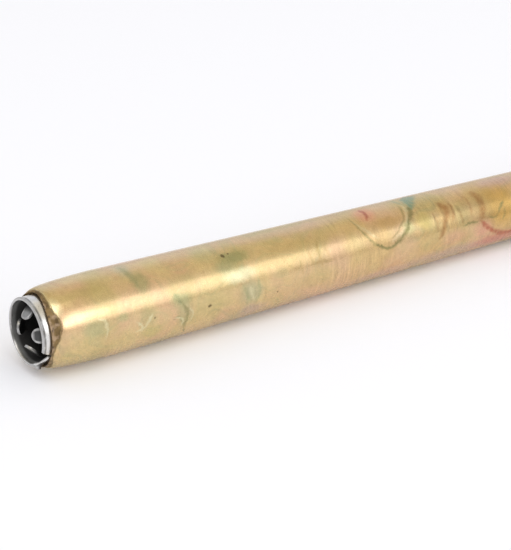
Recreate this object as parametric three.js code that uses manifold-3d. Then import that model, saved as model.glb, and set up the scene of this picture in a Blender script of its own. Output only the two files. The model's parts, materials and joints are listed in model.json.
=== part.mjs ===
// Straight holder for dip-pen nibs, lying on its side: a turned and lacquered wooden handle, a split
// steel sleeve in its front end and, inside the sleeve, a stamped spring insert with four prongs.
// A nib is pushed between the prongs and the sleeve.
//
// Sizes are in millimetres. Every piece is shaped on the pen's own axis, which runs along X: the
// wood starts at x = 0, the sleeve's rim stands in front of it at negative x, and the tail points
// to +X. An angle round the pen is counted from the top (+Z) towards the near side (-Y).

import * as THREE from 'three';
import { mergeVertices } from 'three/addons/utils/BufferGeometryUtils.js';
import Module from 'manifold-3d';

const degrees = (angle) => angle * Math.PI / 180;

// Handle
const HANDLE_LENGTH = 165;
const LIP_LENGTH = 0.8;
const LIP_WIDTH = 0.45;
const COUNTERSINK_DEPTH = 0.5;
const COUNTERSINK_WIDTH = 0.2;
const SHOULDER_LENGTH = 8.7;
const SHOULDER_RISE = 0.6;
const TAIL_RADIUS = 3.2;
const TAIL_ROUND_LENGTH = 2.6;

// Sleeve
const SLEEVE_OUTER_RADIUS = 4.3;
const SLEEVE_WALL = 0.4;
const SLEEVE_PROTRUSION = 1.05;
const SLEEVE_INSERTION = 14;
const RIM_CHAMFER = 0.1;
const SEAM_ANGLE = degrees(119);
const SEAM_WIDTH = 0.45;
const SEAM_NEAR_FLARE = 0.6;
const SEAM_LOW_FLARE = 1.7;

// Spring insert
const INSERT_SHEET = 0.3;
const HUB_FILLET_RADIUS = 1.2;
const PRONG_COUNT = 4;
const PRONG_FIRST_ANGLE = degrees(-8);
const PRONG_WIDTH = 1.9;
const PRONG_CURL_RADIUS = 1.2;
const PRONG_CURL_ANGLE = degrees(45);
const PRONG_END_LENGTH = 1.9;
const PRONG_PROUD = 0.15;

// Clearances
const BORE_CLEARANCE = 0.1;
const FLOOR_CLEARANCE = 0.3;
const ROOT_CLEARANCE = 0.3;
const PRONG_CLEARANCE = 0.2;

// Steps of the round forms
const ROUND_STEPS = 32;
const SHOULDER_STEPS = 8;
const TAIL_STEPS = 6;
const FILLET_STEPS = 6;
const CURL_STEPS = 4;
const TIP_STEPS = 6;
const TIP_FLAT = degrees(10);

// Sizes that follow from the ones above
const boreRadius = SLEEVE_OUTER_RADIUS + BORE_CLEARANCE;
const boreDepth = SLEEVE_INSERTION + FLOOR_CLEARANCE;
const lacquerRadius = boreRadius + LIP_WIDTH;
const maxRadius = lacquerRadius + SHOULDER_RISE;
const shoulderEnd = LIP_LENGTH + SHOULDER_LENGTH;
const tailStart = HANDLE_LENGTH - TAIL_ROUND_LENGTH;
const sleeveInnerRadius = SLEEVE_OUTER_RADIUS - SLEEVE_WALL;
const rimX = -SLEEVE_PROTRUSION;
const hubFrontX = SLEEVE_INSERTION - INSERT_SHEET;
const prongHalfWidth = PRONG_WIDTH / 2;
const prongOuterRadius = Math.sqrt((sleeveInnerRadius - PRONG_CLEARANCE) ** 2 - prongHalfWidth ** 2);
const prongRadius = prongOuterRadius - INSERT_SHEET / 2;
const prongRootX = hubFrontX - ROOT_CLEARANCE;
const prongStep = 2 * Math.PI / PRONG_COUNT;

// Materials
const lacquer = new THREE.MeshStandardMaterial({ color: 0xc4a468, roughness: 0.25, metalness: 0.55 });
const steel = new THREE.MeshStandardMaterial({ color: 0xc8c8c6, roughness: 0.2, metalness: 1 });
const springSteel = new THREE.MeshStandardMaterial({ color: 0x8f8f8c, roughness: 0.35, metalness: 1 });

const wasm = await Module();
wasm.setup();

function toManifold(geometry) {
  const bare = geometry.clone();
  bare.deleteAttribute('normal');
  bare.deleteAttribute('uv');
  const merged = mergeVertices(bare, 1e-4);
  return new wasm.Manifold(new wasm.Mesh({
    numProp: 3,
    vertProperties: new Float32Array(merged.attributes.position.array),
    triVerts: new Uint32Array(merged.index.array),
  }));
}

function toGeometry(solid) {
  const mesh = solid.getMesh();
  const geometry = new THREE.BufferGeometry();
  geometry.setAttribute('position', new THREE.BufferAttribute(new Float32Array(mesh.vertProperties), 3));
  geometry.setIndex(new THREE.BufferAttribute(new Uint32Array(mesh.triVerts), 1));
  geometry.computeVertexNormals();
  return geometry;
}

// Turns a profile of (radius, x) points round the pen's axis, with a flat side facing down.
function turned(points) {
  const profile = points.map(([radius, x]) => new THREE.Vector2(radius, x));
  return new THREE.LatheGeometry(profile, ROUND_STEPS, Math.PI / ROUND_STEPS).rotateZ(-Math.PI / 2);
}

function named(name, geometry, material) {
  const mesh = new THREE.Mesh(geometry, material);
  mesh.name = name;
  return mesh;
}

// From the lacquer's edge the wood swells along a quarter of an ellipse to its thickest place.
function shoulderPoints() {
  const points = [];
  for (let i = 1; i <= SHOULDER_STEPS; i += 1) {
    const turn = (i / SHOULDER_STEPS) * Math.PI / 2;
    const radius = lacquerRadius + SHOULDER_RISE * Math.sin(turn);
    points.push([radius, LIP_LENGTH + SHOULDER_LENGTH * (1 - Math.cos(turn))]);
  }
  return points;
}

function tailPoints() {
  const points = [];
  for (let i = 0; i < TAIL_STEPS; i += 1) {
    const turn = (i / TAIL_STEPS) * Math.PI / 2;
    points.push([TAIL_RADIUS * Math.cos(turn), tailStart + TAIL_ROUND_LENGTH * Math.sin(turn)]);
  }
  points.push([0, HANDLE_LENGTH]);
  return points;
}

function handle() {
  const bore = [
    [0, boreDepth],
    [boreRadius, boreDepth],
    [boreRadius, COUNTERSINK_DEPTH],
    [boreRadius + COUNTERSINK_WIDTH, 0],
    [lacquerRadius, LIP_LENGTH],
  ];
  return named('handle', turned([...bore, ...shoulderPoints(), ...tailPoints()]), lacquer);
}

// The seam is an open slot right through the wall. In front of the wood it widens towards the rim,
// more on its low side than on its near side. The cutter reaches from the axis out past the wall.
function seamCutter() {
  const half = SEAM_WIDTH / 2;
  const frontX = rimX - SLEEVE_WALL;
  const rearX = SLEEVE_INSERTION + SLEEVE_WALL;
  const outline = new THREE.Shape([
    new THREE.Vector2(frontX, -half - SEAM_LOW_FLARE),
    new THREE.Vector2(rimX, -half - SEAM_LOW_FLARE),
    new THREE.Vector2(0, -half),
    new THREE.Vector2(rearX, -half),
    new THREE.Vector2(rearX, half),
    new THREE.Vector2(0, half),
    new THREE.Vector2(rimX, half + SEAM_NEAR_FLARE),
    new THREE.Vector2(frontX, half + SEAM_NEAR_FLARE),
  ]);
  const settings = { depth: SLEEVE_OUTER_RADIUS + SLEEVE_WALL, bevelEnabled: false };
  return new THREE.ExtrudeGeometry(outline, settings).rotateX(SEAM_ANGLE);
}

function ferruleSleeve() {
  const tube = turned([
    [sleeveInnerRadius, SLEEVE_INSERTION],
    [sleeveInnerRadius, rimX + RIM_CHAMFER],
    [sleeveInnerRadius + RIM_CHAMFER, rimX],
    [SLEEVE_OUTER_RADIUS - RIM_CHAMFER, rimX],
    [SLEEVE_OUTER_RADIUS, rimX + RIM_CHAMFER],
    [SLEEVE_OUTER_RADIUS, SLEEVE_INSERTION],
    [sleeveInnerRadius, SLEEVE_INSERTION],
  ]);
  const split = toManifold(tube).subtract(toManifold(seamCutter()));
  return named('ferrule_sleeve', toGeometry(split), steel);
}

// The insert's flat middle: one arm for each prong, with round inside corners between the arms.
function hubShape() {
  const shape = new THREE.Shape();
  const halfStep = prongStep / 2;
  const centreDistance = (HUB_FILLET_RADIUS + prongHalfWidth) / Math.sin(halfStep);
  for (let i = 0; i < PRONG_COUNT; i += 1) {
    const arm = i * prongStep;
    const along = new THREE.Vector2(Math.cos(arm), Math.sin(arm)).multiplyScalar(prongOuterRadius);
    const across = new THREE.Vector2(-Math.sin(arm), Math.cos(arm)).multiplyScalar(prongHalfWidth);
    const right = along.clone().sub(across);
    const left = along.clone().add(across);
    if (i === 0) {
      shape.moveTo(right.x, right.y);
    } else {
      shape.lineTo(right.x, right.y);
    }
    shape.lineTo(left.x, left.y);
    const middle = arm + halfStep;
    shape.absarc(
      centreDistance * Math.cos(middle),
      centreDistance * Math.sin(middle),
      HUB_FILLET_RADIUS,
      arm - Math.PI / 2,
      arm + prongStep + Math.PI / 2,
      true,
    );
  }
  shape.closePath();
  return shape;
}

function prongHub() {
  const settings = { depth: INSERT_SHEET, bevelEnabled: false, curveSegments: FILLET_STEPS };
  const plate = new THREE.ExtrudeGeometry(hubShape(), settings).rotateY(-Math.PI / 2);
  const hub = named('prong_hub', plate, springSteel);
  hub.position.x = SLEEVE_INSERTION;
  hub.rotation.x = PRONG_FIRST_ANGLE;
  return hub;
}

// A prong's middle line starts at its root and runs forward (-X), then curls in towards the axis
// and ends in a straight slant. curlReach is how far forward the curl and the slant take it.
const slantForward = PRONG_END_LENGTH * Math.cos(PRONG_CURL_ANGLE);
const curlReach = PRONG_CURL_RADIUS * Math.sin(PRONG_CURL_ANGLE) + slantForward;
const prongRunLength = prongRootX - (rimX - PRONG_PROUD) - curlReach;
const curlLength = PRONG_CURL_RADIUS * PRONG_CURL_ANGLE;
const prongLength = prongRunLength + curlLength + PRONG_END_LENGTH;

function prongPlace(distance) {
  if (distance <= prongRunLength) {
    return { x: -distance, z: 0, lean: 0 };
  }
  const lean = Math.min((distance - prongRunLength) / PRONG_CURL_RADIUS, PRONG_CURL_ANGLE);
  const slant = Math.max(distance - prongRunLength - curlLength, 0);
  return {
    x: -prongRunLength - PRONG_CURL_RADIUS * Math.sin(lean) - slant * Math.cos(lean),
    z: -PRONG_CURL_RADIUS * (1 - Math.cos(lean)) - slant * Math.sin(lean),
    lean,
  };
}

// Distances along the prong at which its section is drawn: the root, the curl and the round tip.
function prongDistances() {
  const distances = [0];
  for (let i = 0; i <= CURL_STEPS; i += 1) {
    distances.push(prongRunLength + curlLength * i / CURL_STEPS);
  }
  for (let i = 0; i <= TIP_STEPS; i += 1) {
    const turn = (i / TIP_STEPS) * (Math.PI / 2 - TIP_FLAT);
    distances.push(prongLength - prongHalfWidth * (1 - Math.sin(turn)));
  }
  return distances.sort((a, b) => a - b);
}

function prongHalfWidthAt(distance) {
  const fromCentre = Math.max(distance - (prongLength - prongHalfWidth), 0);
  return Math.sqrt(prongHalfWidth ** 2 - fromCentre ** 2);
}

// The strip has a four-cornered section at each distance, joined by flat faces.
function prongGeometry() {
  const positions = [];
  const distances = prongDistances();
  for (const distance of distances) {
    const { x, z, lean } = prongPlace(distance);
    const half = prongHalfWidthAt(distance);
    const outX = -Math.sin(lean) * INSERT_SHEET / 2;
    const outZ = Math.cos(lean) * INSERT_SHEET / 2;
    positions.push(x + outX, half, z + outZ);
    positions.push(x + outX, -half, z + outZ);
    positions.push(x - outX, -half, z - outZ);
    positions.push(x - outX, half, z - outZ);
  }
  const last = 4 * (distances.length - 1);
  const faces = [0, 1, 2, 0, 2, 3, last, last + 2, last + 1, last, last + 3, last + 2];
  for (let start = 0; start < last; start += 4) {
    for (let corner = 0; corner < 4; corner += 1) {
      const here = start + corner;
      const next = start + (corner + 1) % 4;
      faces.push(here, here + 4, next + 4);
      faces.push(here, next + 4, next);
    }
  }
  const geometry = new THREE.BufferGeometry();
  geometry.setAttribute('position', new THREE.Float32BufferAttribute(positions, 3));
  geometry.setIndex(faces);
  geometry.computeVertexNormals();
  return geometry;
}

// Each prong's mesh has its origin at its root, where it bends.
function prong(index) {
  const mesh = named(`prong_${index + 1}`, prongGeometry(), springSteel);
  mesh.position.set(prongRootX, 0, prongRadius);
  const turnedRound = new THREE.Group();
  turnedRound.rotation.x = PRONG_FIRST_ANGLE + index * prongStep;
  turnedRound.add(mesh);
  return turnedRound;
}

// The handle's taper makes the pen lie tail down: the flat side that faces down is level, at z = 0.
function lay(pen) {
  const flatRadius = (radius) => radius * Math.cos(Math.PI / ROUND_STEPS);
  const tilt = Math.atan2(flatRadius(maxRadius - TAIL_RADIUS), tailStart - shoulderEnd);
  pen.rotation.y = tilt;
  pen.position.z = flatRadius(maxRadius) * Math.cos(tilt) + shoulderEnd * Math.sin(tilt);
  pen.updateMatrixWorld(true);
  const box = new THREE.Box3().setFromObject(pen, true);
  pen.position.x = -(box.min.x + box.max.x) / 2;
}

const pen = new THREE.Group();
pen.add(handle(), ferruleSleeve(), prongHub());
for (let index = 0; index < PRONG_COUNT; index += 1) {
  pen.add(prong(index));
}
lay(pen);

const holder = new THREE.Group();
holder.add(pen);

export default holder;
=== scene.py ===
# Looks of a straight holder for dip-pen nibs, lying on its side: marbled gold lacquer on turned
# wood, a split steel sleeve in its front end, and four sprung prongs inside the sleeve.
#
# Lengths are in metres. Each piece is shaped on the pen's own axis, which runs along X: the wood
# starts at x = 0, the sleeve's rim stands in front of it at negative x, and the tail points to +X.
# An angle round the pen is counted from the top (+Z) towards the near side (-Y).

import json
import math

import bpy
from mathutils import Matrix, Vector


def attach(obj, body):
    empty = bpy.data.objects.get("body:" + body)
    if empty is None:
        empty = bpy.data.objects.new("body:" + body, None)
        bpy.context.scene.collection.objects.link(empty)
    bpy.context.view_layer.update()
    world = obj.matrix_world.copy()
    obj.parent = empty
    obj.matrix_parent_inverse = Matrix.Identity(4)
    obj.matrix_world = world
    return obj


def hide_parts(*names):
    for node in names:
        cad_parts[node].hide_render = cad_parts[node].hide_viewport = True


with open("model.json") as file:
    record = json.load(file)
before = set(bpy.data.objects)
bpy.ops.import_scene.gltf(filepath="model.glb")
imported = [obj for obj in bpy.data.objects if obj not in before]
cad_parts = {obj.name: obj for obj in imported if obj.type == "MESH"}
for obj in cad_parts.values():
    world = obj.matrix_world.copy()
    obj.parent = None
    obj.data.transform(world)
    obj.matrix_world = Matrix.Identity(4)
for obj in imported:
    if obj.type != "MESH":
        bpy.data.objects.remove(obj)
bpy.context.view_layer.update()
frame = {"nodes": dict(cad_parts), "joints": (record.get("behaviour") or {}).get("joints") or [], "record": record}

MM = 0.001

# Handle
HANDLE_LENGTH = 165 * MM
BORE_RADIUS = 4.4 * MM
BORE_DEPTH = 14.3 * MM
COUNTERSINK_DEPTH = 0.5 * MM
COUNTERSINK_RADIUS = 4.6 * MM
LIP_LENGTH = 0.8 * MM
LIP_RADIUS = 4.8 * MM
SHOULDER_LENGTH = 8.7 * MM
SHOULDER_RADIUS = 5.45 * MM
TAIL_RADIUS = 3.2 * MM
TAIL_ROUND_LENGTH = 2.6 * MM
LACQUER_THICKNESS = 0.05 * MM
LACQUER_EDGE = 0.65 * MM
LACQUER_RAGGEDNESS = 0.5 * MM
LACQUER_FADE = 0.3 * MM

# Where the lacquer has chipped off furthest, and where it has run furthest towards the sleeve
CHIP_ANGLE = math.radians(66)
CHIP_REACH = math.radians(34)
CHIP_LENGTH = 0.55 * MM
RUN_ANGLE = math.radians(112)
RUN_REACH = math.radians(32)
RUN_LENGTH = 0.5 * MM

# Where the wood's front edge is worn back furthest, and how far from the front the wear reaches
WEAR_ANGLE = math.radians(345)
WEAR_REACH = math.radians(75)
WEAR_LENGTH = 0.7 * MM
WEAR_DEPTH = 2.4 * MM

# Sleeve
SLEEVE_RADIUS = 4.1 * MM
SLEEVE_WALL = 0.4 * MM
SLEEVE_PROTRUSION = 1.05 * MM
SLEEVE_INSERTION = 14 * MM
SEAM_ANGLE = math.radians(119)
SEAM_WIDTH = 0.45 * MM
SEAM_NEAR_FLARE = 0.6 * MM
SEAM_LOW_FLARE = 1.7 * MM
SLEEVE_EDGE_ROUNDING = 0.10 * MM
MOUTH_FLARE = 0.10 * MM
MOUTH_FLARE_LENGTH = 0.45 * MM
CORNER_BEND = 0.65 * MM
CORNER_DRAW = 0.35 * MM
CORNER_REACH = math.radians(17)

# Prongs
PRONG_SHEET = 0.3 * MM
PRONG_WIDTH = 1.9 * MM
PRONG_ROOT_X = 13.4 * MM
PRONG_TIP_X = -1.2 * MM
PRONG_CURL_RADIUS = 1.2 * MM
PRONG_CURL_ANGLE = math.radians(45)
PRONG_END_LENGTH = 1.9 * MM
PRONG_DISH = 0.07 * MM
PRONG_BLUNT_HALF_WIDTH = 0.12 * MM
PRONG_EDGE_ROUNDING = 0.07 * MM

# Steps of the meshes: along the handle's stretches and round it, and along and across each sheet
BORE_STEPS = 8
LIP_STEPS = 16
SHOULDER_STEPS = 40
BODY_STEPS = 90
TAIL_STEPS = 24
HANDLE_STEPS_ROUND = 160
SLEEVE_ROWS = 40
SLEEVE_COLUMNS = 89
PRONG_ROWS = 60
PRONG_COLUMNS = 17
MERGE_DISTANCE = 0.0005 * MM

# An edge with a larger turn than this is shaded sharp, and is rounded on sheet metal
SHARP_TURN = math.radians(50)

# Flat sides of the CAD handle, which lie level on the surface that the pen rests on
CAD_SIDES = 32

# Camera, from the photograph's perspective: the rim's middle is at this pixel and this far away
IMAGE_WIDTH = 511
IMAGE_HEIGHT = 550
VIEW_TURN = math.radians(34.288)
VIEW_DROP = math.radians(24.206)
FOCAL_PIXELS = 2473.4
RIM_PIXEL = (25.9, 332.2)
RIM_DISTANCE = 300 * MM
SENSOR_WIDTH = 36

# Stage, in metres: the floor's half width, and the lamps, each with its place, width, height, lean in
# degrees and radiance
FLOOR_REACH = 3.0
LAMP_TARGET = Vector((-0.05, 0, 0))
SOFTBOXES = {
    "front softbox": ((0.35, -0.79, 0.47), 0.46, 0.66, -30, 1.0),
    "bright end of the front softbox": ((0.19, -0.85, 0.40), 0.24, 0.46, -30, 2.2),
    "high softbox": ((-0.22, -0.36, 0.80), 0.60, 0.60, 0, 1.5),
}

# The pen's own axes in the row frame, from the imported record's mouth and hinges
record = frame["record"]
mouth = next(mount for mount in record["mounts"] if mount["name"] == "nib_mouth")
hinges = {joint["child"]: Vector(joint["pos_m"]) for joint in frame["joints"]}
pen_x = -Vector(mouth["axis"]).normalized()
pen_z = pen_x.cross(Vector((0, 1, 0))).normalized()
pen_y = pen_z.cross(pen_x)
root_centre = (hinges["prong_top"] + hinges["prong_bottom"]) / 2
pen_origin = root_centre - pen_x * PRONG_ROOT_X
pen_tilt = math.atan2(-pen_x.z, pen_x.x)
pen_to_row = Matrix.Translation(pen_origin) @ Matrix((pen_x, pen_y, pen_z)).transposed().to_4x4()


class Graph:
    """Adds nodes to a tree. Each value given to a node is a number, a vector, a colour or a socket."""

    def __init__(self, tree):
        self.tree = tree

    def add(self, kind, values=None, **settings):
        node = self.tree.nodes.new(kind)
        for name, setting in settings.items():
            setattr(node, name, setting)
        for place, value in (values or {}).items():
            self.put(node.inputs[place], value)
        return node

    def put(self, socket, value):
        if isinstance(value, bpy.types.NodeSocket):
            self.tree.links.new(value, socket)
        elif value is not None:
            socket.default_value = value

    def math(self, operation, *values, clamp=False):
        places = dict(enumerate(values))
        return self.add("ShaderNodeMath", places, operation=operation, use_clamp=clamp).outputs[0]

    def largest(self, values):
        result = values[0]
        for value in values[1:]:
            result = self.math("MAXIMUM", result, value)
        return result

    def vector(self, operation, *values):
        node = self.add("ShaderNodeVectorMath", dict(enumerate(values)), operation=operation)
        is_number = operation in ("DOT_PRODUCT", "LENGTH", "DISTANCE")
        return node.outputs["Value" if is_number else "Vector"]

    def scaled(self, vector, scale):
        values = {"Vector": vector, "Scale": scale}
        return self.add("ShaderNodeVectorMath", values, operation="SCALE").outputs["Vector"]

    def combine(self, x, y, z):
        return self.add("ShaderNodeCombineXYZ", {0: x, 1: y, 2: z}).outputs[0]

    def separate(self, vector):
        return self.add("ShaderNodeSeparateXYZ", {0: vector}).outputs

    def ramp(self, value, low, high, start=0.0, end=1.0):
        """Goes smoothly from start to end while value goes from low to high."""
        places = {0: value, 1: low, 2: high, 3: start, 4: end}
        return self.add("ShaderNodeMapRange", places, interpolation_type="SMOOTHSTEP").outputs[0]

    def noise(self, vector, scale, detail=2.0, roughness=0.5, distortion=0.0):
        values = {
            "Vector": vector,
            "Scale": scale,
            "Detail": detail,
            "Roughness": roughness,
            "Distortion": distortion,
        }
        return self.add("ShaderNodeTexNoise", values).outputs

    def mix(self, factor, first, second, blend="MIX"):
        places = {0: factor, 6: first, 7: second}
        node = self.add("ShaderNodeMix", places, data_type="RGBA", blend_type=blend)
        return node.outputs[2]

    def blend_numbers(self, factor, first, second):
        return self.add("ShaderNodeMix", {0: factor, 2: first, 3: second}).outputs[0]


def empty_graph(owner):
    """The graph that writes the nodes of a material or of the world, with none in it yet."""
    owner.use_nodes = True
    owner.node_tree.nodes.clear()
    return Graph(owner.node_tree)


def switched_on(sockets):
    """The value socket that fits the node's data type. The others are switched off."""
    return next(socket for socket in sockets if socket.name == "Value" and socket.enabled)


# Materials

def new_material(name):
    """A material with a Principled shader, and the graph that writes it."""
    material = bpy.data.materials.new(name)
    graph = empty_graph(material)
    shader = graph.add("ShaderNodeBsdfPrincipled")
    graph.add("ShaderNodeOutputMaterial", {"Surface": shader.outputs[0]})
    return material, graph, shader


def pen_place(graph):
    """The surface point on the pen's own axes, in millimetres."""
    point = graph.add("ShaderNodeTexCoord").outputs["Object"]
    mapping = graph.add("ShaderNodeMapping", {"Vector": point}, vector_type="TEXTURE")
    mapping.inputs["Location"].default_value = pen_origin
    mapping.inputs["Rotation"].default_value = (0, pen_tilt, 0)
    mapping.inputs["Scale"].default_value = (MM, MM, MM)
    return mapping.outputs[0]


def bump(graph, height, strength, distance, normal=None):
    values = {"Height": height, "Strength": strength, "Distance": distance, "Normal": normal}
    return graph.add("ShaderNodeBump", values).outputs[0]


# Marbling, in millimetres along the pen and degrees round it. A stroke is a start, a point in its
# middle and an end, with a width at each end. Its ends are pointed unless it joins another stroke.
UNROLL_RADIUS = 5.2

# How fast a stroke gains its width along its length, and its share of the width at its very end
POINTED_END = (3.5, 0.0)
JOINED_END = (20.0, 1.0)

# The side with measured strokes: where it ends along the pen, and its middle and half width round
# the pen, rolled out. Each pair goes from the first to the last of its soft edge.
SEEN_END = (68.0, 80.0)
SEEN_MIDDLE = 5.4
SEEN_HALF_WIDTH = (8.4, 11.0)


class Stroke:
    def __init__(self, start, middle, end, widths, soft=0.2, joined=(False, False), strength=1.0):
        self.start = self.unrolled(start)
        self.end = self.unrolled(end)
        through = self.unrolled(middle)
        self.bend = 2 * through - (self.start + self.end) / 2
        self.widths = widths
        self.soft = soft
        self.joined = joined
        self.strength = strength

    @staticmethod
    def unrolled(place):
        return Vector((place[0], math.radians(place[1]) * UNROLL_RADIUS))

    def forms(self):
        """Two straight-line measures of the plane, in which the stroke is the parabola v = u * u."""
        corners = [self.start, self.bend, self.end]
        system = Matrix([(corner.x, corner.y, 1) for corner in corners]).inverted()
        return system @ Vector((0, 0.5, 1)), system @ Vector((0, 0, 1))


def stroke_cover(graph, place, stroke):
    """How much of a surface point the stroke covers, from 0 to 1."""
    form_u, form_v = stroke.forms()
    u = graph.vector("DOT_PRODUCT", place, form_u)
    minus_v = graph.vector("DOT_PRODUCT", place, -form_v)
    offset = graph.math("MULTIPLY_ADD", u, u, minus_v)
    twice_u = graph.math("MULTIPLY", u, 2.0)
    spread_u = graph.combine(twice_u, twice_u, 0.0)
    slope_u = Vector((form_u.x, form_u.y, 0))
    slope_v = Vector((form_v.x, form_v.y, 0))
    slope = graph.vector("MULTIPLY_ADD", spread_u, slope_u, -slope_v)
    steepness = graph.vector("LENGTH", slope)
    distance = graph.math("ABSOLUTE", graph.math("DIVIDE", offset, steepness))
    rise = JOINED_END if stroke.joined[0] else POINTED_END
    fall = JOINED_END if stroke.joined[1] else POINTED_END
    from_start = graph.math("MULTIPLY_ADD", u, rise[0], rise[1])
    from_end = graph.math("MULTIPLY_ADD", u, -fall[0], fall[0] + fall[1])
    fullness = graph.math("MINIMUM", graph.math("MINIMUM", from_start, from_end), 1.0)
    half_start = stroke.widths[0] / 2
    half_end = stroke.widths[1] / 2
    half = graph.math("MULTIPLY_ADD", u, half_end - half_start, half_start)
    reach = graph.math("MULTIPLY", half, fullness)
    beyond = graph.math("SUBTRACT", distance, reach)
    cover = graph.ramp(beyond, -stroke.soft, stroke.soft, stroke.strength, 0.0)
    inside = graph.ramp(fullness, 0.0, 0.4)
    return graph.math("MULTIPLY", cover, inside)


def soft_oval_cover(graph, place, centre, size, soft=0.6, strength=1.0):
    """A soft oval patch, from 0 to 1. Its centre and half sizes are along and round the pen."""
    middle = Stroke.unrolled(centre)
    half = Stroke.unrolled(size)
    offset = graph.vector("SUBTRACT", place, Vector((middle.x, middle.y, 1)))
    share = graph.vector("MULTIPLY", offset, Vector((1 / half.x, 1 / half.y, 0)))
    return graph.ramp(graph.vector("LENGTH", share), 1 - soft, 1 + soft, strength, 0.0)


# Soft patches in the lacquer: centre, half sizes, colour and strength. Most are stains; three are painted light,
# marked below.
STAINS_AND_PAINTED_LIGHT = [
    # Painted highlight: a pale pool of light on the lacquer's rounded edge at the mouth
    ((1.3, 38), (0.6, 13), (0.90, 0.80, 0.50, 1), 0.6),
    # Painted reflection: a dark olive band, the room's ceiling mirrored just above the bright band
    ((5.2, 29), (3.0, 8), (0.52, 0.42, 0.16, 1), 0.4),
    ((5.6, 80), (1.5, 12), (0.46, 0.45, 0.23, 1), 0.6),
    ((9.6, 75), (0.9, 5), (0.46, 0.46, 0.22, 1), 0.6),
    ((13.1, 84), (1.1, 14), (0.48, 0.42, 0.20, 1), 0.55),
    ((13.7, 109), (1.5, 9), (0.52, 0.47, 0.18, 1), 0.55),
    ((12.2, 6), (1.0, 18), (0.52, 0.49, 0.31, 1), 0.55),
    ((13.3, 36), (1.2, 16), (0.39, 0.37, 0.18, 1), 0.7),
    ((18.0, 71), (1.3, 9), (0.44, 0.45, 0.22, 1), 0.65),
    ((18.5, 92), (0.9, 20), (0.45, 0.42, 0.22, 1), 0.6),
    ((37.0, 40), (5.5, 9), (0.54, 0.38, 0.14, 1), 0.35),
    ((23.6, 12), (1.8, 16), (0.54, 0.50, 0.25, 1), 0.5),
    ((27.2, 33), (2.4, 9), (0.36, 0.35, 0.15, 1), 0.75),
    ((25.4, 45), (1.3, 9), (0.40, 0.40, 0.20, 1), 0.6),
    ((27.1, 60), (2.1, 9), (0.74, 0.72, 0.46, 1), 0.6),
    ((28.6, 90), (1.5, 18), (0.46, 0.45, 0.26, 1), 0.7),
    ((29.0, 121), (1.8, 11), (0.50, 0.37, 0.31, 1), 0.6),
    # Painted reflection: a pinkish cast along the top, where the lacquer mirrors the room behind
    ((37.5, 8), (7.0, 11), (0.72, 0.48, 0.33, 1), 0.45),
    ((39.0, 96), (3.0, 14), (0.56, 0.46, 0.17, 1), 0.4),
    ((50.5, 127), (4.5, 10), (0.62, 0.40, 0.32, 1), 0.5),
    ((48.9, 12), (1.4, 17), (0.76, 0.32, 0.21, 1), 0.6),
    ((51.4, 38), (2.4, 10), (0.52, 0.32, 0.10, 1), 0.55),
    ((54.4, 54), (0.9, 9), (0.66, 0.62, 0.30, 1), 0.6),
    ((56.9, 50), (1.2, 15), (0.62, 0.49, 0.15, 1), 0.5),
    ((61.0, 41), (1.0, 15), (0.50, 0.28, 0.10, 1), 0.5),
    ((61.6, 92), (1.9, 13), (0.72, 0.38, 0.26, 1), 0.5),
    ((62.0, 121), (6.0, 12), (0.54, 0.37, 0.31, 1), 0.55),
    ((63.4, 60), (1.2, 22), (0.49, 0.41, 0.18, 1), 0.5),
    ((70.0, 58), (3.4, 34), (0.60, 0.36, 0.085, 1), 0.8),
    ((66.6, 88), (1.4, 14), (0.70, 0.34, 0.25, 1), 0.6),
    ((66.3, 58), (2.6, 26), (0.44, 0.30, 0.13, 1), 0.45),
    ((70.0, 119), (4.0, 13), (0.60, 0.24, 0.18, 1), 0.75),
    ((71.5, 8), (3.0, 14), (0.58, 0.36, 0.30, 1), 0.5),
]

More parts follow.
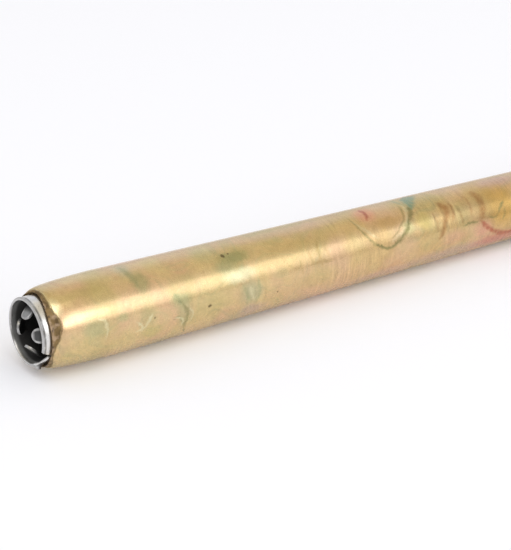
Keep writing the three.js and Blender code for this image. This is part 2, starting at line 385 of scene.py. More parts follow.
MARBLING = {
    "grey green": {
        "colour": (0.33, 0.34, 0.17, 1),
        "strokes": [
            Stroke((11.9, -6), (12.4, 20), (12.6, 46), (0.6, 0.8), 0.4, strength=0.6),
            Stroke((24.6, 8), (26.0, 26), (28.4, 42), (0.9, 0.8), 0.5, strength=0.35),
            Stroke((27.0, 44), (28.0, 56), (28.6, 70), (1.2, 1.0), 0.5, strength=0.3),
            Stroke((27.2, 71), (27.7, 88), (28.7, 108), (0.5, 0.4), 0.3, strength=0.6),
            Stroke((29.5, 72), (29.8, 88), (29.3, 108), (0.5, 0.4), 0.3, strength=0.6),
            Stroke((16.8, 66), (17.7, 70), (18.3, 78), (0.6, 0.7), 0.3, strength=0.6),
        ],
    },
    "teal": {
        "colour": (0.20, 0.31, 0.20, 1),
        "strokes": [
            Stroke((57.0, -16), (56.9, 4), (55.9, 27), (3.2, 0.8), 0.5, (False, True), 0.85),
            Stroke((54.7, -10), (55.0, 4), (55.5, 20), (0.6, 0.4), 0.35, strength=0.5),
        ],
    },
    "olive": {
        "colour": (0.24, 0.22, 0.08, 1),
        "strokes": [
            Stroke((18.1, 72), (18.8, 92), (18.6, 108), (0.35, 0.45), 0.2, (False, True), 0.6),
            Stroke((18.6, 108), (18.7, 120), (19.1, 133), (0.45, 0.3), 0.2, (True, False), 0.6),
            Stroke((16.6, 98), (17.9, 97), (18.4, 119), (0.25, 0.3), 0.15, strength=0.55),
            Stroke((46.0, 4), (47.1, 44), (48.4, 66), (0.25, 0.35), 0.2, (False, True), 0.7),
            Stroke((48.4, 66), (50.2, 77), (51.9, 74), (0.35, 0.45), 0.18, (True, True), 0.85),
            Stroke((51.9, 74), (53.6, 62), (54.7, 46), (0.5, 0.6), 0.25, (True, True), 0.9),
            Stroke((54.7, 46), (55.5, 35), (55.9, 20), (0.6, 1.1), 0.3, (True, False), 0.9),
            Stroke((54.5, 8), (54.4, 31), (53.1, 52), (0.35, 0.35), 0.2, (False, True), 0.6),
            Stroke((53.1, 52), (52.2, 60), (50.9, 64), (0.35, 0.2), 0.15, (True, False), 0.5),
            Stroke((59.0, 24), (58.9, 50), (57.9, 79), (0.3, 0.25), 0.25, strength=0.35),
            Stroke((62.8, 38), (63.2, 55), (63.3, 72), (0.3, 0.3), 0.25, strength=0.4),
            Stroke((63.0, 76), (64.6, 75), (66.0, 76), (0.35, 0.35), 0.2, strength=0.75),
            Stroke((70.5, 50), (69.9, 60), (69.2, 70), (0.6, 0.3), 0.2, strength=0.75),
            Stroke((69.3, 69), (68.4, 74), (67.3, 70), (0.35, 0.3), 0.2, strength=0.7),
            Stroke((69.8, 84), (70.3, 74), (70.5, 60), (0.3, 0.3), 0.2, strength=0.5),
        ],
    },
    "pale": {
        "colour": (0.78, 0.71, 0.43, 1),
        "strokes": [
            Stroke((5.9, 68), (7.1, 78), (7.0, 103), (0.3, 0.3), 0.15, strength=0.6),
            Stroke((11.3, 84), (12.2, 96), (10.9, 102), (0.25, 0.25), 0.12, strength=0.65),
            Stroke((13.8, 80), (13.0, 92), (11.9, 103), (0.3, 0.3), 0.15, strength=0.7),
            Stroke((16.6, 95), (18.2, 100), (18.0, 117), (0.3, 0.25), 0.12, strength=0.7),
            Stroke((19.0, 84), (19.5, 96), (19.4, 110), (0.25, 0.2), 0.15, strength=0.55),
            Stroke((28.2, 76), (28.6, 90), (28.9, 104), (0.4, 0.4), 0.25, strength=0.55),
            Stroke((46.4, 20), (47.6, 42), (49.3, 62), (0.35, 0.35), 0.25, strength=0.4),
            Stroke((55.0, 8), (55.0, 30), (54.0, 52), (0.5, 0.4), 0.3, strength=0.45),
            Stroke((54.0, 52), (52.6, 64), (50.8, 69), (0.4, 0.3), 0.25, strength=0.35),
        ],
    },
    "red": {
        "colour": (0.44, 0.13, 0.07, 1),
        "strokes": [
            Stroke((48.9, -6), (49.2, 12), (48.5, 30), (0.6, 0.4), 0.2, strength=0.8),
            Stroke((66.1, 70), (67.2, 89), (69.0, 103), (0.45, 0.7), 0.25, (False, True), 0.85),
            Stroke((69.0, 103), (71.6, 110), (76.0, 102), (0.7, 0.5), 0.3, (True, False), 0.85),
        ],
    },
    # Brush streaks across the middle of the visible half
    "dark gold": {
        "colour": (0.42, 0.29, 0.10, 1),
        "strokes": [
            Stroke((36.6, 60), (36.5, 72), (36.7, 84), (0.3, 0.2), 0.25, strength=0.45),
            Stroke((38.1, 50), (38.1, 60), (38.2, 72), (0.3, 0.2), 0.25, strength=0.5),
            Stroke((39.8, 34), (39.5, 58), (39.8, 82), (0.45, 0.35), 0.3, strength=0.6),
            Stroke((38.6, 68), (39.5, 72), (40.6, 76), (0.8, 0.6), 0.4, strength=0.5),
            Stroke((40.7, 46), (40.7, 58), (40.8, 72), (0.3, 0.25), 0.25, strength=0.45),
            Stroke((43.4, 48), (43.4, 64), (43.4, 84), (0.35, 0.3), 0.25, strength=0.55),
            Stroke((45.6, 62), (45.7, 70), (45.6, 78), (0.3, 0.2), 0.25, strength=0.4),
            Stroke((34.2, 64), (35.5, 70), (36.8, 72), (0.4, 0.4), 0.3, strength=0.35),
        ],
    },
    "brown": {
        "colour": (0.36, 0.17, 0.055, 1),
        "strokes": [
            Stroke((60.2, 24), (61.0, 44), (60.3, 62), (1.0, 0.8), 0.45, (False, True), 0.75),
            Stroke((60.3, 62), (59.7, 76), (58.7, 90), (0.8, 0.4), 0.3, (True, False), 0.7),
            Stroke((61.8, 30), (62.0, 48), (61.4, 67), (0.6, 0.4), 0.35, strength=0.6),
            Stroke((62.9, 44), (63.2, 59), (63.1, 76), (0.4, 0.3), 0.3, strength=0.45),
            Stroke((64.6, 22), (65.0, 44), (64.7, 66), (0.4, 0.3), 0.3, strength=0.45),
            Stroke((58.7, 40), (58.9, 57), (58.7, 76), (0.3, 0.25), 0.25, strength=0.4),
            Stroke((66.0, 16), (67.0, 46), (65.9, 80), (1.1, 0.8), 0.4, strength=0.75),
        ],
    },
}

# Painted shade in the gap under the sleeve's seam, beside its bent-out corner: centre, half sizes, softness and
# strength
SEAM_SHADE = ((-0.32, 144), (0.50, 14), 0.35, 0.95)
PAINTED_SHADE_COLOUR = (0.03, 0.02, 0.015, 1)

# Dark specks in the lacquer: place and radius
SPECKS = [
    ((22.2, 93), 0.22),
    ((25.9, 28), 0.20),
    ((26.9, 25), 0.14),
    ((13.9, 87), 0.10),
    ((32.6, 101), 0.12),
]


def generic_marbling(graph, place, colour, amount):
    """Curling veins with no set places, for what the strokes don't cover."""
    bent = graph.scaled(graph.noise(place, 0.11, 2.0)[1], 9.0)
    curled = graph.vector("ADD", place, bent)
    level = graph.noise(curled, 0.085, 1.5, 0.45)[0]
    bands = graph.math("PINGPONG", graph.math("MULTIPLY", level, 9.0), 0.5)
    vein = graph.ramp(bands, 0.03, 0.12, 1.0, 0.0)
    patches = graph.separate(graph.noise(place, 0.05, 1.0)[1])
    is_green = graph.ramp(patches[0], 0.46, 0.60)
    is_red = graph.ramp(patches[1], 0.50, 0.64)
    tone = graph.mix(graph.ramp(level, 0.35, 0.65), (0.13, 0.28, 0.17, 1), (0.38, 0.45, 0.22, 1))
    warm = graph.mix(graph.ramp(level, 0.40, 0.60), (0.50, 0.12, 0.07, 1), (0.30, 0.14, 0.06, 1))
    from_broad = graph.math("ABSOLUTE", graph.math("SUBTRACT", bands, 0.30))
    broad = graph.ramp(from_broad, 0.0, 0.12, 1.0, 0.0)
    veined = graph.math("MAXIMUM", vein, graph.math("MULTIPLY", broad, 0.45))
    green = graph.math("MULTIPLY", graph.math("MULTIPLY", veined, is_green), amount)
    red = graph.math("MULTIPLY", graph.math("MULTIPLY", veined, is_red), amount)
    colour = graph.mix(green, colour, tone)
    return graph.mix(red, colour, warm)


def marbled_colour(graph, place, pen):
    """Gold with patches of peach and olive, then the stains and a few patches of painted highlight and reflection,
    the strokes and the specks.
    """
    patch = graph.separate(graph.noise(pen, 0.16, 2.0, 0.55)[1])
    parts = graph.separate(place)
    along = graph.ramp(parts[0], 8.0, 62.0)
    gold = graph.mix(along, (0.72, 0.55, 0.27, 1), (0.66, 0.45, 0.20, 1))
    colour = graph.mix(graph.ramp(patch[0], 0.38, 0.66), gold, (0.71, 0.475, 0.27, 1))
    colour = graph.mix(graph.ramp(patch[1], 0.42, 0.68, 0.0, 0.7), colour, (0.57, 0.46, 0.20, 1))
    past_end = graph.ramp(parts[0], *SEEN_END)
    from_middle = graph.math("ABSOLUTE", graph.math("SUBTRACT", parts[1], SEEN_MIDDLE))
    hidden = graph.math("MAXIMUM", past_end, graph.ramp(from_middle, *SEEN_HALF_WIDTH))
    amount = graph.math("MULTIPLY_ADD", hidden, 0.42, 0.16)
    colour = generic_marbling(graph, pen, colour, amount)
    for centre, size, patch_colour, strength in STAINS_AND_PAINTED_LIGHT:
        cover = soft_oval_cover(graph, place, centre, size, strength=strength)
        colour = graph.mix(cover, colour, patch_colour)
    thin = graph.ramp(graph.noise(pen, 1.9, 2.0)[0], 0.32, 0.58, 0.70, 1.0)
    for family in MARBLING.values():
        covers = [stroke_cover(graph, place, stroke) for stroke in family["strokes"]]
        cover = graph.math("MULTIPLY", graph.largest(covers), thin)
        colour = graph.mix(cover, colour, family["colour"])
    for centre, radius in SPECKS:
        size = (radius, math.degrees(radius / UNROLL_RADIUS))
        cover = soft_oval_cover(graph, place, centre, size, 0.5, 0.8)
        colour = graph.mix(cover, colour, (0.10, 0.065, 0.02, 1))
    return colour


def bare_wood_colour(graph, pen):
    """End grain at the mouth, stained dark in places and pale where it has chipped."""
    grain = graph.noise(pen, 0.9, 4.0, 0.6)[0]
    wood = graph.mix(graph.ramp(grain, 0.35, 0.65), (0.12, 0.07, 0.02, 1), (0.30, 0.19, 0.07, 1))
    chips = graph.separate(graph.noise(pen, 1.1, 2.0, 0.5)[1])
    front = graph.ramp(graph.separate(pen)[0], 0.2, 0.6, 0.12, -0.06)
    pale = graph.ramp(graph.math("ADD", chips[1], front), 0.50, 0.70, 0.0, 0.75)
    wood = graph.mix(pale, wood, (0.56, 0.39, 0.25, 1))
    return graph.mix(graph.ramp(chips[0], 0.56, 0.70), wood, (0.035, 0.020, 0.008, 1))


def unrolled_place(graph, pen):
    """The surface point with the pen's surface rolled out flat, for strokes and stains."""
    sides = graph.separate(pen)
    turn = graph.math("ARCTAN2", graph.math("MULTIPLY", sides[1], -1.0), sides[2])
    return graph.combine(sides[0], graph.math("MULTIPLY", turn, UNROLL_RADIUS), 1.0)


def lacquer_material():
    material, graph, shader = new_material("marbled gold lacquer on wood")
    pen = pen_place(graph)
    flat = unrolled_place(graph, pen)
    middle = Vector((0.5, 0.5, 0.5))
    broad_warp = graph.vector("SUBTRACT", graph.noise(pen, 0.45, 2.0)[1], middle)
    fine_warp = graph.vector("SUBTRACT", graph.noise(pen, 1.7, 2.0)[1], middle)
    place = graph.vector("MULTIPLY_ADD", broad_warp, Vector((0.8, 0.8, 0)), flat)
    place = graph.vector("MULTIPLY_ADD", fine_warp, Vector((0.5, 0.5, 0)), place)
    lacquer = marbled_colour(graph, place, pen)

    stretched = graph.vector("MULTIPLY", pen, Vector((1.0, 0.10, 0.10)))
    streaks = graph.noise(stretched, 2.4, 3.0, 0.6)[0]
    amount = graph.ramp(graph.separate(pen)[0], 14.0, 44.0, 0.25, 1.0)
    brushed = graph.ramp(graph.noise(pen, 0.14, 2.0)[0], 0.40, 0.62, 0.15, 0.75)
    shade = graph.math("MULTIPLY_ADD", graph.math("SUBTRACT", streaks, 0.5), brushed, 1.0)
    shade = graph.blend_numbers(amount, 1.0, shade)
    mottling = graph.math("SUBTRACT", graph.noise(pen, 1.5, 4.0, 0.65)[0], 0.5)
    shade = graph.math("MULTIPLY", shade, graph.math("MULTIPLY_ADD", mottling, 0.35, 1.0))
    shaded = graph.scaled(lacquer, shade)

    covered = graph.add("ShaderNodeAttribute", attribute_name="lacquer").outputs["Fac"]
    ragged = graph.math("MULTIPLY_ADD", graph.noise(pen, 2.2, 3.0, 0.7)[0], 0.7, covered)
    lacquered = graph.ramp(ragged, 0.62, 1.05)
    edge_ends = graph.ramp(ragged, 0.95, 1.3, 1.0, 0.0)
    edge = graph.math("MULTIPLY", graph.ramp(ragged, 0.5, 0.9), edge_ends)
    colour = graph.mix(lacquered, bare_wood_colour(graph, pen), shaded)
    colour = graph.mix(graph.math("MULTIPLY", edge, 0.75), colour, (0.19, 0.125, 0.04, 1))
    # Painted shade on the wood beside the seam's bent corner
    painted_seam_shade = soft_oval_cover(graph, flat, *SEAM_SHADE)
    graph.put(shader.inputs["Base Color"], graph.mix(painted_seam_shade, colour, PAINTED_SHADE_COLOUR))
    graph.put(shader.inputs["Metallic"], graph.math("MULTIPLY", lacquered, 0.9))
    mottle = graph.noise(pen, 1.3, 3.0)[0]
    gloss = graph.math("MULTIPLY_ADD", mottle, 0.10, 0.22)
    graph.put(shader.inputs["Roughness"], graph.blend_numbers(lacquered, 0.75, gloss))
    graph.put(shader.inputs["Coat Weight"], graph.math("MULTIPLY", lacquered, 0.35))
    shader.inputs["Coat Roughness"].default_value = 0.12

    fine = bump(graph, streaks, graph.math("MULTIPLY", amount, 0.5), 0.004 * MM)
    wavy = bump(graph, graph.noise(pen, 0.5, 1.0)[0], 0.5, 0.04 * MM, fine)
    bare = graph.math("SUBTRACT", 1.0, lacquered)
    fibres = graph.math("MULTIPLY", graph.noise(pen, 3.0, 4.0, 0.7)[0], bare)
    graph.put(shader.inputs["Normal"], bump(graph, fibres, 1.0, 0.1 * MM, wavy))
    return material


def steel_material(name, colour, dark, dull_from, dull_length, dulled_and_shaded, roughness, face=None):
    """Drawn steel sheet, bright at the mouth, and further in made dull by ink and oil and darkened as painted
    shade, down to near black deep in the bore.

    The dulling starts at one place along the pen and spans one length, both in millimetres. With a face colour,
    which darkens a tarnished face partly as painted shade, only what the bright attribute covers is bright."""
    wall = SLEEVE_RADIUS / MM
    rim = -SLEEVE_PROTRUSION / MM
    material, graph, shader = new_material(name)
    pen = pen_place(graph)
    sides = graph.separate(pen)
    radius = graph.vector("LENGTH", graph.vector("MULTIPLY", pen, Vector((0, 1, 1))))
    inside = graph.ramp(radius, wall - 0.15, wall + 0.05, 1.0, 0.0)
    deep = graph.math("MULTIPLY", graph.ramp(sides[0], dull_from, dull_from + dull_length), inside)
    cloud = graph.noise(pen, 1.1, 3.0, 0.6)[0]
    tone = graph.mix(graph.ramp(cloud, 0.40, 0.70, 0.0, 0.35), colour, dark)
    # The face colour darkens a tarnished face, partly as painted shade; the bright attribute keeps the edges
    # bright
    if face:
        bright = graph.add("ShaderNodeAttribute", attribute_name="bright").outputs["Fac"]
        tone = graph.mix(bright, face, tone)
    spots = graph.ramp(graph.noise(pen, 4.5, 2.0, 0.6)[0], 0.64, 0.72, 0.0, 0.5)
    tone = graph.mix(spots, tone, (0.16, 0.13, 0.10, 1))
    # A darker grey band round the outside of the sleeve just behind the rim, broken up by cloud noise
    from_ring = graph.math("ABSOLUTE", graph.math("SUBTRACT", sides[0], rim + 0.25))
    darker_band = graph.ramp(from_ring, 0.06, 0.28, 0.8, 0.0)
    outside = graph.ramp(radius, wall + 0.08, wall + 0.16)
    broken_up = graph.ramp(cloud, 0.30, 0.55, 0.6, 1.0)
    darker_band = graph.math("MULTIPLY", graph.math("MULTIPLY", darker_band, outside), broken_up)
    tone = graph.mix(darker_band, tone, (0.10, 0.095, 0.09, 1))
    # Painted shade on the sleeve's outside beside the seam's bent corner
    painted_seam_shade = soft_oval_cover(graph, unrolled_place(graph, pen), *SEAM_SHADE)
    tone = graph.mix(graph.math("MULTIPLY", painted_seam_shade, outside), tone, PAINTED_SHADE_COLOUR)
    cut_face = graph.ramp(sides[0], rim + 0.03, rim + 0.08, 0.55, 0.0)
    tone = graph.mix(cut_face, tone, (0.30, 0.295, 0.29, 1))
    # Further in: made dull by ink and oil and darkened as painted shade, then painted near black deep in the bore
    # as painted shade
    tone = graph.mix(deep, tone, dulled_and_shaded)
    tone = graph.mix(graph.ramp(sides[0], 0.2, 2.2), tone, (0.02, 0.019, 0.018, 1))
    graph.put(shader.inputs["Base Color"], tone)
    graph.put(shader.inputs["Metallic"], graph.blend_numbers(deep, 1.0, 0.2))
    lines = graph.noise(graph.vector("MULTIPLY", pen, Vector((9.0, 1.0, 1.0))), 1.6, 3.0, 0.6)[0]
    rough = graph.math("MULTIPLY_ADD", lines, 0.16, roughness)
    graph.put(shader.inputs["Roughness"], graph.blend_numbers(deep, rough, 0.6))
    graph.put(shader.inputs["Normal"], bump(graph, lines, 0.4, 0.008 * MM))
    return material


# Shapes made with Geometry Nodes

def geometry_tree(name, counts, sizes, places=()):
    """A tree with nothing in it yet but its named inputs: counts, sizes, places and the material."""
    tree = bpy.data.node_groups.new(name, "GeometryNodeTree")
    tree.interface.new_socket("Geometry", in_out="OUTPUT", socket_type="NodeSocketGeometry")
    tree.interface.new_socket("Geometry", in_out="INPUT", socket_type="NodeSocketGeometry")
    kinds = {
        "NodeSocketInt": counts,
        "NodeSocketFloat": sizes,
        "NodeSocketVector": places,
        "NodeSocketMaterial": ["Material"],
    }
    for kind, titles in kinds.items():
        for title in titles:
            tree.interface.new_socket(title, in_out="INPUT", socket_type=kind)
    graph = Graph(tree)
    sockets = graph.add("NodeGroupInput").outputs
    return tree, graph, {socket.name: socket for socket in sockets if socket.name}


def finish_tree(graph, geometry, material):
    """Ends a tree: realize, smooth, set the material."""
    real = graph.add("GeometryNodeRealizeInstances", {"Geometry": geometry}).outputs[0]
    smooth = graph.add("GeometryNodeSetShadeSmooth", {"Geometry": real}).outputs[0]
    painted = graph.add("GeometryNodeSetMaterial", {"Geometry": smooth, "Material": material})
    graph.add("NodeGroupOutput", {"Geometry": painted.outputs[0]})


def grid_cell(graph, rows, columns):
    """A grid of vertices, with each vertex's row and column."""
    values = {"Vertices X": rows, "Vertices Y": columns}
    grid = graph.add("GeometryNodeMeshGrid", values).outputs["Mesh"]
    index = graph.add("GeometryNodeInputIndex").outputs[0]
    row = graph.math("FLOOR", graph.math("DIVIDE", graph.math("ADD", index, 0.5), columns))
    column = graph.math("SUBTRACT", index, graph.math("MULTIPLY", row, columns))
    return grid, row, column


def placed(graph, geometry, position):
    values = {"Geometry": geometry, "Position": position}
    return graph.add("GeometryNodeSetPosition", values).outputs[0]


def round_the_pen(graph, along, radius, turn):
    """The point at a place along the pen, a distance from its axis and an angle round it."""
    y = graph.math("MULTIPLY", graph.math("SINE", turn), graph.math("MULTIPLY", radius, -1.0))
    z = graph.math("MULTIPLY", graph.math("COSINE", turn), radius)
    return graph.combine(along, y, z)


def stored_number(graph, geometry, name, value):
    """Keeps a number at each vertex, for the material."""
    values = {"Geometry": geometry, "Name": name}
    node = graph.add("GeometryNodeStoreNamedAttribute", values, data_type="FLOAT", domain="POINT")
    graph.put(switched_on(node.inputs), value)
    return node.outputs[0]


def share_of(graph, step, count):
    """A row's or column's share of the way across the grid, from 0 to 1."""
    return graph.math("DIVIDE", step, graph.math("SUBTRACT", count, 1.0))


def built(name, mesh, tree, values, modifiers=()):
    """Runs a tree on a mesh, with further modifiers, and gives the result as a plain piece."""
    source = bpy.data.objects.new(name + "_source", mesh)
    bpy.context.scene.collection.objects.link(source)
    modifier = source.modifiers.new("shape", "NODES")
    modifier.node_group = tree
    sockets = [item for item in tree.interface.items_tree if item.in_out == "INPUT"]
    identifiers = {socket.name: socket.identifier for socket in sockets}
    for title, value in values.items():
        modifier[identifiers[title]] = value
    for kind, settings in modifiers:
        extra = source.modifiers.new(kind.lower(), kind)
        for setting, value in settings.items():
            setattr(extra, setting, value)
    evaluated = source.evaluated_get(bpy.context.evaluated_depsgraph_get())
    made = bpy.data.meshes.new_from_object(evaluated)
    bpy.data.objects.remove(source)
    made.name = name
    made.transform(pen_to_row)
    made.set_sharp_from_angle(angle=SHARP_TURN)
    piece = bpy.data.objects.new(name, made)
    bpy.context.scene.collection.objects.link(piece)
    return piece


def angle_between(graph, turn, angle):
    """How far an angle round the pen lies from another one, the shorter way round."""
    return graph.math("ARCCOSINE", graph.math("COSINE", graph.math("SUBTRACT", turn, angle)))


def turned_tree():
    """Turns the input's vertices, each a radius (Z) and a place along the pen (X), round the axis."""
    sizes = ["Lacquer edge", "Lacquer thickness", "Raggedness", "Chip", "Run", "Wear"]
    tree, graph, given = geometry_tree("turned piece", ["Steps round"], sizes)
    profile = given["Geometry"]
    size = graph.add("GeometryNodeAttributeDomainSize", {"Geometry": profile})
    columns = graph.math("ADD", given["Steps round"], 1.0)
    grid, row, column = grid_cell(graph, size.outputs["Point Count"], columns)
    position = graph.add("GeometryNodeInputPosition").outputs[0]
    sampled = graph.add("GeometryNodeSampleIndex", data_type="FLOAT_VECTOR")
    graph.put(sampled.inputs["Geometry"], profile)
    graph.put(switched_on(sampled.inputs), position)
    graph.put(sampled.inputs["Index"], row)
    point = graph.separate(switched_on(sampled.outputs))
    turn = graph.math("MULTIPLY", share_of(graph, column, columns), 2 * math.pi)
    across = graph.combine(0.0, graph.math("SINE", turn), graph.math("COSINE", turn))
    wave = graph.noise(graph.scaled(across, 3.0), 1.0, 3.0, 0.6)[0]
    wander = graph.math("MULTIPLY", graph.math("SUBTRACT", wave, 0.5), given["Raggedness"])
    from_chip = angle_between(graph, turn, CHIP_ANGLE)
    chip = graph.ramp(from_chip, 0.0, CHIP_REACH, given["Chip"], 0.0)
    from_run = angle_between(graph, turn, RUN_ANGLE)
    run = graph.ramp(from_run, 0.0, RUN_REACH, given["Run"], 0.0)
    uneven = graph.math("ADD", wander, graph.math("SUBTRACT", chip, run))
    edge = graph.math("ADD", given["Lacquer edge"], uneven)
    beyond = graph.math("SUBTRACT", point[0], edge)
    # The bore stays bare: only what is just wider than it, or behind its floor, has a coat
    outside = graph.math("GREATER_THAN", point[2], COUNTERSINK_RADIUS + 0.01 * MM)
    is_tail = graph.math("GREATER_THAN", point[0], BORE_DEPTH + 1 * MM)
    outer = graph.math("MAXIMUM", outside, is_tail)
    cover = graph.math("MULTIPLY", graph.ramp(beyond, -LACQUER_FADE, LACQUER_FADE), outer)
    coat = graph.math("MULTIPLY", cover, given["Lacquer thickness"])
    off_axis = graph.ramp(point[2], 0.0, 1 * MM)
    radius = graph.math("ADD", point[2], graph.math("MULTIPLY", coat, off_axis))
    from_wear = angle_between(graph, turn, WEAR_ANGLE)
    wear = graph.ramp(from_wear, 0.0, WEAR_REACH, given["Wear"], 0.0)
    nearness = graph.math("MULTIPLY_ADD", point[0], -1 / WEAR_DEPTH, 1.0, clamp=True)
    worn_back = graph.math("MULTIPLY", wear, graph.math("POWER", nearness, 2.0))
    final = round_the_pen(graph, graph.math("ADD", point[0], worn_back), radius, turn)
    shaped = placed(graph, stored_number(graph, grid, "lacquer", cover), final)
    # The grid's two sides meet at the top of the handle, and each of its ends shrinks to a pole
    values = {"Geometry": shaped, "Distance": MERGE_DISTANCE}
    closed = graph.add("GeometryNodeMergeByDistance", values).outputs[0]
    outward = graph.add("GeometryNodeFlipFaces", {"Mesh": closed}).outputs[0]
    finish_tree(graph, outward, given["Material"])
    return tree


def handle_profile():
    """The places and radii of the handle's section, from the bore's floor out and back to the tail."""
    body_radius = SHOULDER_RADIUS - LACQUER_THICKNESS
    tail_radius = TAIL_RADIUS - LACQUER_THICKNESS
    shoulder_end = LIP_LENGTH + SHOULDER_LENGTH
    tail_start = HANDLE_LENGTH - TAIL_ROUND_LENGTH
    points = [(BORE_DEPTH, 0.0), (BORE_DEPTH, BORE_RADIUS * 0.5), (BORE_DEPTH, BORE_RADIUS)]
    for i in range(1, BORE_STEPS + 1):
        share = i / BORE_STEPS
        points.append((BORE_DEPTH * (1 - share) + COUNTERSINK_DEPTH * share, BORE_RADIUS))
    # The countersink, with its edge a little blunted
    points += [(0.1 * MM, COUNTERSINK_RADIUS - 0.02 * MM), (0.0, COUNTERSINK_RADIUS)]
    for i in range(1, LIP_STEPS + 1):
        share = i / LIP_STEPS
        rise = (LIP_RADIUS - COUNTERSINK_RADIUS) * share ** 0.6
        points.append((LIP_LENGTH * share, COUNTERSINK_RADIUS + rise))
    for i in range(1, SHOULDER_STEPS + 1):
        turn = i / SHOULDER_STEPS * math.pi / 2
        rise = (body_radius - LIP_RADIUS) * math.sin(turn)
        points.append((LIP_LENGTH + SHOULDER_LENGTH * (1 - math.cos(turn)), LIP_RADIUS + rise))
    for i in range(1, BODY_STEPS + 1):
        share = i / BODY_STEPS
        radius = body_radius + (tail_radius - body_radius) * share
        points.append((shoulder_end + (tail_start - shoulder_end) * share, radius))
    for i in range(1, TAIL_STEPS + 1):
        turn = i / TAIL_STEPS * math.pi / 2
        place = tail_start + TAIL_ROUND_LENGTH * math.sin(turn)
        points.append((place, tail_radius * math.cos(turn)))
    return points


def make_handle():
    profile = handle_profile()
    mesh = bpy.data.meshes.new("handle profile")
    edges = [(i, i + 1) for i in range(len(profile) - 1)]
    mesh.from_pydata([(x, 0, radius) for x, radius in profile], edges, [])
    values = {
        "Steps round": HANDLE_STEPS_ROUND,
        "Lacquer edge": LACQUER_EDGE,
        "Lacquer thickness": LACQUER_THICKNESS,
        "Raggedness": LACQUER_RAGGEDNESS,
        "Chip": CHIP_LENGTH,
        "Run": RUN_LENGTH,
        "Wear": WEAR_LENGTH,
        "Material": lacquer_material(),
    }
    piece = built("lacquered_handle", mesh, turned_tree(), values)
    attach(piece, "holder")
    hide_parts("handle")


def rolled_tree():
    """A sheet rolled round the axis, open at a seam that widens in front of the wood."""
    sizes = ["Radius", "Protrusion", "Insertion", "Seam angle", "Seam width", "Near flare", "Low flare"]
    sizes += ["Mouth flare", "Mouth flare length", "Corner bend", "Corner draw", "Corner reach"]
    tree, graph, given = geometry_tree("rolled sheet", ["Rows", "Columns"], sizes)
    grid, row, column = grid_cell(graph, given["Rows"], given["Columns"])
    # Rows lie closer together towards the rim
    along = graph.math("POWER", share_of(graph, row, given["Rows"]), 1.3)
    length = graph.math("ADD", given["Protrusion"], given["Insertion"])
    x = graph.math("SUBTRACT", graph.math("MULTIPLY", along, length), given["Protrusion"])
    front = graph.math("DIVIDE", graph.math("MULTIPLY", x, -1.0), given["Protrusion"])
    front = graph.math("MAXIMUM", front, 0.0)
    half = graph.math("MULTIPLY", given["Seam width"], 0.5)
    near = graph.math("MULTIPLY_ADD", front, given["Near flare"], half)
    low = graph.math("MULTIPLY_ADD", front, given["Low flare"], half)
    near_angle = graph.math("ARCSINE", graph.math("DIVIDE", near, given["Radius"]))
    low_angle = graph.math("ARCSINE", graph.math("DIVIDE", low, given["Radius"]))
    first = graph.math("ADD", given["Seam angle"], low_angle)
    span = graph.math("SUBTRACT", 2 * math.pi, graph.math("ADD", low_angle, near_angle))
    from_corner = graph.math("MULTIPLY", share_of(graph, column, given["Columns"]), span)
    turn = graph.math("ADD", from_corner, first)
    # The mouth opens towards its rim
    behind_rim = graph.math("ADD", x, given["Protrusion"])
    opening = graph.math("DIVIDE", behind_rim, given["Mouth flare length"])
    opening = graph.math("MAXIMUM", graph.math("SUBTRACT", 1.0, opening), 0.0)
    opening = graph.math("MULTIPLY", opening, opening)
    radius = graph.math("MULTIPLY_ADD", opening, given["Mouth flare"], given["Radius"])
    # The low corner at the seam is bent outward, which also draws it back
    bending = graph.math("DIVIDE", from_corner, given["Corner reach"])
    bending = graph.math("MAXIMUM", graph.math("SUBTRACT", 1.0, bending), 0.0)
    bending = graph.math("POWER", bending, 1.6)
    bending = graph.math("MULTIPLY", bending, graph.math("POWER", front, 2.5))
    radius = graph.math("MULTIPLY_ADD", bending, given["Corner bend"], radius)
    x = graph.math("MULTIPLY_ADD", bending, given["Corner draw"], x)
    final = round_the_pen(graph, x, radius, turn)
    finish_tree(graph, placed(graph, grid, final), given["Material"])
    return tree


def sheet_finish(thickness, rounding):
    """Modifiers that give a sheet its thickness and round its cut edges."""
    solidify = {"thickness": thickness, "offset": 0.0, "use_even_offset": True}
    bevel = {
        "width": rounding,
        "segments": 3,
        "limit_method": "ANGLE",
        "angle_limit": SHARP_TURN,
        "harden_normals": False,
    }
    return (("SOLIDIFY", solidify), ("BEVEL", bevel))


def make_sleeve():
    values = {
        "Rows": SLEEVE_ROWS,
        "Columns": SLEEVE_COLUMNS,
        "Radius": SLEEVE_RADIUS,
        "Protrusion": SLEEVE_PROTRUSION,
        "Insertion": SLEEVE_INSERTION,
        "Seam angle": SEAM_ANGLE,
        "Seam width": SEAM_WIDTH,
        "Near flare": SEAM_NEAR_FLARE,
        "Low flare": SEAM_LOW_FLARE,
        "Mouth flare": MOUTH_FLARE,
        "Mouth flare length": MOUTH_FLARE_LENGTH,
        "Corner bend": CORNER_BEND,
        "Corner draw": CORNER_DRAW,
        "Corner reach": CORNER_REACH,
        "Material": steel_material(
            "bright sleeve steel",
            colour=(0.80, 0.79, 0.77, 1),
            dark=(0.50, 0.48, 0.45, 1),
            dull_from=-0.95,
            dull_length=0.9,
            dulled_and_shaded=(0.065, 0.062, 0.060, 1),
            roughness=0.22,
        ),
    }
    finish = sheet_finish(SLEEVE_WALL, SLEEVE_EDGE_ROUNDING)
    piece = built("steel_sleeve", bpy.data.meshes.new("sleeve"), rolled_tree(), values, finish)
    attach(piece, "holder")
    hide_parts("ferrule_sleeve")


